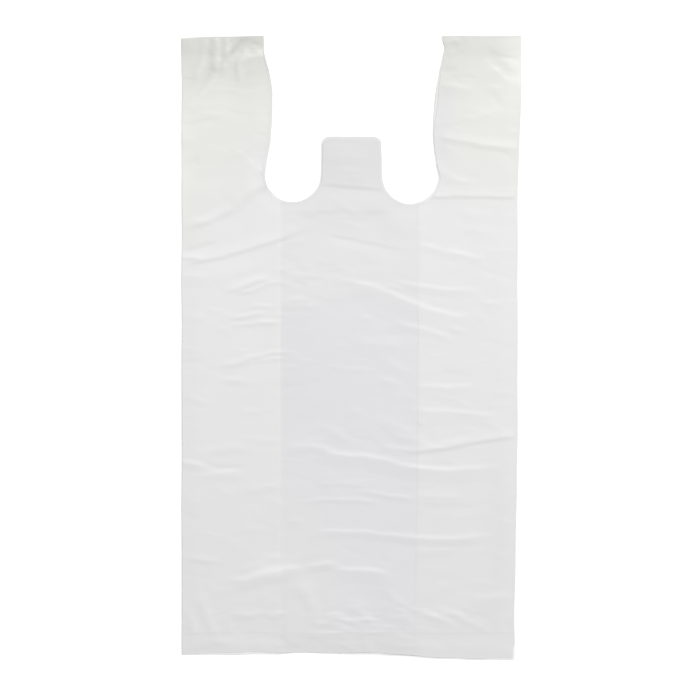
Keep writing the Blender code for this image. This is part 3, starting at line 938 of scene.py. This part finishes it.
def filmColours(points):
    x, y, share, height = points[:, 0], points[:, 1], points[:, 3], points[:, 4]
    left, right = sideEdges(height)
    inside = np.minimum(x + left - tube["gussetDepth"], right - tube["gussetDepth"] - x)
    finish = {name: np.array(value) for name, value in filmFinish.items()}
    skirtShare = ease((tube["footWeld"] - height) / finish["weldEdge"])
    middle, side = middleColour(x, y, skirtShare, finish), sideColour(x, y, finish)
    colour = blend(middle, side, ease(0.5 - inside / finish["layerEdge"]))
    # painted highlights and painted shade along creases and folds, and broad lighter and darker patches
    for change, reach, *line in paintedLightAndShade:
        line = np.reshape(line, (-1, 2))
        tone = creaseHeight(x / mm, y / mm, line, change, reach, reach / relief["farStretch"])
        colour = colour * (1.0 + tone)[:, None]
    # the right fold's line: partly the fold seen through the film, partly painted shade on the step facing
    # away from the light
    width, (above, below) = finish["foldLineWidth"], finish["foldLineShares"]
    foldLineShade = ease(1.0 - np.abs(inside - width) / width) * (x > 0) * (0.8 + 0.4 * waves(y, 0.060, 61))
    foldLineShade = foldLineShade * mix(above, 1.0, ramp(y, "foldLineTop")) * mix(below, 1.0, ramp(y, "foldLineFoot"))
    colour = toned(colour, finish["foldLineShade"], foldLineShade)
    # painted shade, darker to the right, evening out the key lamp's light
    colour = toned(colour, finish["rightPaintedShade"], ramp(x, "rightPaintedShade"))
    weldLine = tube["length"] - tube["handleWeld"]
    colour = toned(colour, finish["header"], ease((height - weldLine) / finish["weldEdge"]))
    # painted light on the crumpled patch at the left handle's top corner
    patchX, patchY, reachX, reachY = finish["patchPlace"]
    litPatchShare = ease(1.4 - np.hypot((x - patchX) / reachX, (y - patchY) / reachY))
    colour = toned(colour, finish["headerLitPatch"], litPatchShare)
    place, reach = finish["skirtPlace"]
    skirt = mix(finish["skirt"], finish["skirtMiddle"], ease(1.6 - np.abs(x - place) / reach))
    colour = toned(colour, skirt, skirtShare)
    welded = ease(1.0 - weldDistance(height) / tube["weldWidth"]) * np.where(y < 0, 1.0, 0.5 * ease(x / 0.1))
    colour = toned(colour, finish["weld"], welded)
    # painted light on the back layers' rims, strongest on the shaded sides, lifting the shadow cast by the
    # front's edges
    lit, mouthRim, far, footRim = finish["rimPaintedLight"]
    farEnd, mouthLeft, mouthRight, footTop = finish["rimPlaces"]
    rimPaintedLight = np.where((x > mouthLeft) & (x < mouthRight), mouthRim, lit)
    rimPaintedLight = np.where(x < farEnd, far, rimPaintedLight)
    rimPaintedLight = np.where(height < footTop, footRim, rimPaintedLight)
    # painted light on the front panel's foot edge
    edge = mix(1.0, finish["footEdgeLight"], ease(1.0 - height / finish["footEdgeHeight"]))
    return colour * np.where(share < shares["front"] - 0.01, rimPaintedLight, edge)[:, None]


def addNode(tree, kind, values=None, **settings):  # a node with its settings and the constants on its sockets
    node = tree.nodes.new(kind)
    for name, value in settings.items():
        setattr(node, name, value)
    for name, value in (values or {}).items():
        node.inputs[name].default_value = value
    return node


def wire(tree, *wires):  # each from a node's output to a node's input
    for source, output, target, name in wires:
        tree.links.new(source.outputs[output], target.inputs[name])


def crinkleTree():  # geometry nodes: a faint crinkle lifts every layer alike, then the material is set
    tree = bpy.data.node_groups.new("film crinkle", "GeometryNodeTree")
    for name, way, kind in (("Film", "INPUT", "Geometry"), ("Crinkle depth", "INPUT", "Float"),
                            ("Crinkle length", "INPUT", "Float"), ("Seed", "INPUT", "Float"),
                            ("Film material", "INPUT", "Material"), ("Film", "OUTPUT", "Geometry")):
        tree.interface.new_socket(name, in_out=way, socket_type="NodeSocket" + kind)
    start, end = addNode(tree, "NodeGroupInput"), addNode(tree, "NodeGroupOutput")
    position = addNode(tree, "GeometryNodeInputPosition")
    flatten = addNode(tree, "ShaderNodeVectorMath", {1: (1.0, 1.0, 0.0)}, operation="MULTIPLY")
    inverse = addNode(tree, "ShaderNodeMath", {0: 1.0}, operation="DIVIDE")
    noise = addNode(tree, "ShaderNodeTexNoise", {"Detail": 3.0, "Distortion": 0.6}, noise_dimensions="4D")
    lift = addNode(tree, "ShaderNodeMath", operation="MULTIPLY")
    upward = addNode(tree, "ShaderNodeCombineXYZ")
    place = addNode(tree, "GeometryNodeSetPosition")
    realize = addNode(tree, "GeometryNodeRealizeInstances")
    finish = addNode(tree, "GeometryNodeSetMaterial")
    wire(tree, (position, "Position", flatten, 0), (flatten, "Vector", noise, "Vector"),
         (start, "Crinkle length", inverse, 1), (inverse, "Value", noise, "Scale"),
         (start, "Seed", noise, "W"), (noise, 0, lift, 0),
         (start, "Crinkle depth", lift, 1), (lift, "Value", upward, "Z"),
         (start, "Film", place, "Geometry"), (upward, "Vector", place, "Offset"),
         (place, "Geometry", realize, "Geometry"), (realize, "Geometry", finish, "Geometry"),
         (start, "Film material", finish, "Material"), (finish, "Geometry", end, 0))
    return tree


def addObject(name, data):
    thing = bpy.data.objects.new(name, data)
    bpy.context.scene.collection.objects.link(thing)
    return thing


def setInput(modifier, name, value):  # by the socket's identifier
    for item in modifier.node_group.interface.items_tree:
        if item.in_out == "INPUT" and item.name == name:
            modifier[item.identifier] = value


def newMaterial(name):
    material = bpy.data.materials.new(name)
    material.use_nodes = True
    return material, material.node_tree, material.node_tree.nodes["Principled BSDF"]


def filmMaterial():
    material, tree, shader = newMaterial("carrier bag film")
    shader.inputs["Metallic"].default_value = 0.0
    dieLine, mottle, (smooth, rough) = filmFinish["dieLine"], filmFinish["mottle"], filmFinish["roughness"]
    place = addNode(tree, "ShaderNodeTexCoord")
    layers = addNode(tree, "ShaderNodeAttribute", attribute_name="filmColour")
    stretch = addNode(tree, "ShaderNodeMapping", {"Scale": filmFinish["dieStretch"]})
    lines = addNode(tree, "ShaderNodeTexNoise", {"Scale": 1.0, "Detail": 2.0})
    cloud = addNode(tree, "ShaderNodeTexNoise", {"Scale": 38.0, "Detail": 4.0})
    linesRange = addNode(tree, "ShaderNodeMapRange", {"To Min": 1.0 - dieLine, "To Max": 1.0 + dieLine})
    cloudRange = addNode(tree, "ShaderNodeMapRange", {"To Min": 1.0 - mottle, "To Max": 1.0 + mottle})
    both = addNode(tree, "ShaderNodeMath", operation="MULTIPLY")
    tinted = addNode(tree, "ShaderNodeVectorMath", operation="SCALE")
    gloss = addNode(tree, "ShaderNodeMapRange", {"To Min": smooth, "To Max": rough})
    crinkle = addNode(tree, "ShaderNodeTexNoise", {"Scale": 260.0, "Detail": 5.0, "Distortion": 1.2})
    bumps = addNode(tree, "ShaderNodeBump", {"Strength": filmFinish["bumpStrength"],
                                             "Distance": filmFinish["bumpDistance"]})
    wire(tree, (place, "Object", stretch, "Vector"), (stretch, "Vector", lines, "Vector"),
         (place, "Object", cloud, "Vector"), (place, "Object", crinkle, "Vector"),
         (lines, 0, linesRange, "Value"), (cloud, 0, cloudRange, "Value"),
         (linesRange, "Result", both, 0), (cloudRange, "Result", both, 1), (layers, "Color", tinted, 0),
         (both, "Value", tinted, "Scale"), (tinted, "Vector", shader, "Base Color"),
         (cloud, 0, gloss, "Value"), (gloss, "Result", shader, "Roughness"), (crinkle, 0, bumps, "Height"),
         (bumps, "Normal", shader, "Normal"))
    return material


def makeBag():
    points, faces = makeTube()
    print("tube of film:", len(points), "points,", len(faces), "faces")
    points, faces = cutMouth(points, faces)
    print("mouth stamped out:", len(faces), "faces left")
    pitch = pitchAt(points[:, 4]) * mix(tube["edgePitchShare"], 1.0, freeEdgeShare(points))
    z = tube["wall"] / 2 + pitch * points[:, 2] + reliefAt(points) * points[:, 3]
    colours = filmColours(points)
    print("relief: up to", round(float(z.max()) / mm, 2), "mm")
    places = np.stack([points[:, 0], points[:, 1], z], axis=1)
    mesh = bpy.data.meshes.new("filmBag")
    mesh.from_pydata(places.tolist(), [], [tuple(int(corner) for corner in face) for face in faces])
    colourLayer = mesh.attributes.new("filmColour", "FLOAT_COLOR", "POINT")
    colourLayer.data.foreach_set("color", np.hstack([colours, np.ones((len(colours), 1))]).ravel())
    work = bmesh.new()
    work.from_mesh(mesh)
    loose = [point for point in work.verts if not point.link_faces]
    bmesh.ops.delete(work, geom=loose, context="VERTS")
    bmesh.ops.recalc_face_normals(work, faces=work.faces)
    work.to_mesh(mesh)
    work.free()
    draft = addObject("filmBagDraft", mesh)
    crinkle = draft.modifiers.new("crinkle", "NODES")
    crinkle.node_group = crinkleTree()
    values = {"Crinkle depth": filmFinish["crinkleDepth"], "Crinkle length": filmFinish["crinkleLength"],
              "Seed": 3.0, "Film material": filmMaterial()}
    for name, value in values.items():
        setInput(crinkle, name, value)
    wall = draft.modifiers.new("film wall", "SOLIDIFY")
    wall.thickness = tube["wall"]
    wall.offset = 0.0
    wall.use_even_offset = True
    bpy.context.view_layer.update()
    finished = bpy.data.meshes.new_from_object(draft.evaluated_get(bpy.context.evaluated_depsgraph_get()))
    bpy.data.objects.remove(draft)
    finished.shade_smooth()
    finished.set_sharp_from_angle(angle=math.radians(50))
    print("bag:", sum(len(face.vertices) - 2 for face in finished.polygons), "triangles")
    return addObject("filmBag", finished)


backdrop = {
    "size": 6.0,
    "drop": 0.0002,  # below the bag
    "grey": 0.32,  # under the lamp, and how far it glows for the camera:
    "glow": 0.78,
}


def makeFloor():
    half, drop, grey = backdrop["size"] / 2, backdrop["drop"], backdrop["grey"]
    mesh = bpy.data.meshes.new("floor")
    corners = [(-half, -half, -drop), (half, -half, -drop), (half, half, -drop), (-half, half, -drop)]
    mesh.from_pydata(corners, [], [(0, 1, 2, 3)])
    material, tree, shader = newMaterial("white floor")
    shader.inputs["Base Color"].default_value = (grey, grey, grey, 1.0)
    shader.inputs["Roughness"].default_value = 0.9
    shader.inputs["Specular IOR Level"].default_value = 0.0
    glow = addNode(tree, "ShaderNodeEmission")
    path = addNode(tree, "ShaderNodeLightPath")
    seen = addNode(tree, "ShaderNodeMath", operation="MAXIMUM")
    seenToo = addNode(tree, "ShaderNodeMath", operation="MAXIMUM")
    level = addNode(tree, "ShaderNodeMath", {1: backdrop["glow"]}, operation="MULTIPLY")
    both = addNode(tree, "ShaderNodeAddShader")
    wire(tree, (path, "Is Camera Ray", seen, 0), (path, "Is Glossy Ray", seen, 1),
         (seen, "Value", seenToo, 0), (path, "Is Transmission Ray", seenToo, 1), (seenToo, "Value", level, 0),
         (level, "Value", glow, "Strength"), (shader, "BSDF", both, 0), (glow, "Emission", both, 1),
         (both, "Shader", tree.nodes["Material Output"], "Surface"))
    mesh.materials.append(material)
    addObject("floor", mesh)


lighting = {
    "keyPlace": (0.85, 1.95, 2.0),
    "keySize": 1.5,
    "keyPower": 53.5,
    "worldStrength": 0.587,
}


def makeLights():
    lamp = bpy.data.lights.new("key", "AREA")
    lamp.shape = "SQUARE"
    lamp.size = lighting["keySize"]
    lamp.energy = lighting["keyPower"]
    key = addObject("key", lamp)
    key.location = lighting["keyPlace"]
    key.rotation_euler = (Vector((0, 0, 0)) - key.location).to_track_quat("-Z", "Y").to_euler()
    world = bpy.data.worlds.new("studio")
    bpy.context.scene.world = world
    world.use_nodes = True
    tree = world.node_tree
    background = tree.nodes["Background"]
    background.inputs["Color"].default_value = (1.0, 1.0, 1.0, 1.0)
    path = addNode(tree, "ShaderNodeLightPath")
    level = addNode(tree, "ShaderNodeMapRange", {"To Min": lighting["worldStrength"], "To Max": 1.0})
    wire(tree, (path, "Is Camera Ray", level, "Value"), (level, "Result", background, "Strength"))


view = {
    "distance": 3.0,
    "pixel": 0.0008965,  # metres across one pixel of the photograph at the bag
    "pixels": 700,
    "bagAt": (351.4, 348.5),  # the bag's middle in the photograph
    "sensor": 36.0,
}


def makeCamera():
    data = bpy.data.cameras.new("camera")
    data.sensor_width = view["sensor"]
    data.lens = view["sensor"] * view["distance"] / (view["pixel"] * view["pixels"])
    camera = addObject("camera", data)
    middle, pixel = view["pixels"] / 2, view["pixel"]
    bagX, bagY = view["bagAt"]
    camera.location = ((middle - bagX) * pixel, (bagY - middle) * pixel, view["distance"])
    bpy.context.scene.camera = camera
    bpy.context.scene.view_settings.view_transform = "Standard"


makeCamera()
bag = makeBag()
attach(bag, "root")
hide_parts("carrier_bag")
makeFloor()
makeLights()
